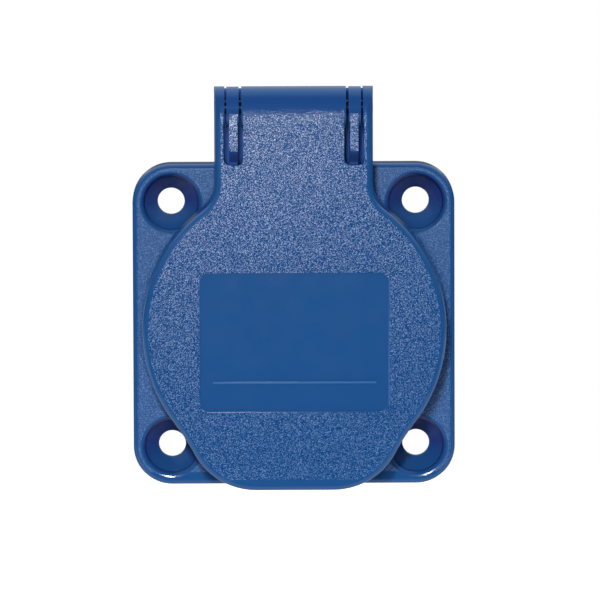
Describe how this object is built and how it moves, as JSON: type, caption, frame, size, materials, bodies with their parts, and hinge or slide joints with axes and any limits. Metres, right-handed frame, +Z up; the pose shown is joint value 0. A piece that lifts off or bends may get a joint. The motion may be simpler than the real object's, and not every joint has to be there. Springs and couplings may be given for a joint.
{
  "type": "panel mount socket outlet",
  "caption": "Panel mount earthed socket outlet with a square flange, a round plug well and a spring-closed hinged lid on a neck with slotted hinge arms",
  "frame": {"origin": "centre of the flange's back face, on the panel's surface and on the axis of the plug well", "axes": "+X to the right as seen from the front, +Y into the panel, +Z up towards the hinge; the lid faces -Y"},
  "size_m": [0.05, 0.0475, 0.0627],
  "materials": {
    "blue_plastic": "fine spark-eroded grain on the flat faces, smooth on edges and recesses",
    "rubber": "matt moulded rubber",
    "carrier_plastic": "matt moulded insulating plastic",
    "brass": "stamped or turned bright brass",
    "steel": "zinc plated steel"
  },
  "bodies": {
    "housing": {"flange_housing": "blue_plastic", "flange_gasket": "rubber", "contact_carrier": "carrier_plastic", "earth_bracket": "brass", "earth_terminal": "brass", "earth_terminal_screw": "steel", "earth_wire_guard": "steel", "left_contact": "brass", "left_contact_spring": "steel", "left_terminal": "brass", "left_terminal_screw": "steel", "left_wire_guard": "steel", "right_contact": "brass", "right_contact_spring": "steel", "right_terminal": "brass", "right_terminal_screw": "steel", "right_wire_guard": "steel", "hinge_pin": "steel", "lid_spring": "steel"},
    "lid": {"lid": "blue_plastic", "lid_seal": "rubber"}
  },
  "joints": [
    {"name": "lid_hinge", "type": "hinge", "parent": "housing", "child": "lid", "pos_m": [0, -0.01229, 0.0345], "axis": [-1, 0, 0], "range_deg": [0, 105], "stiffness_Nm_per_rad": 0.012, "springref_deg": -57.3, "deforming": ["lid_spring"]}
  ]
}
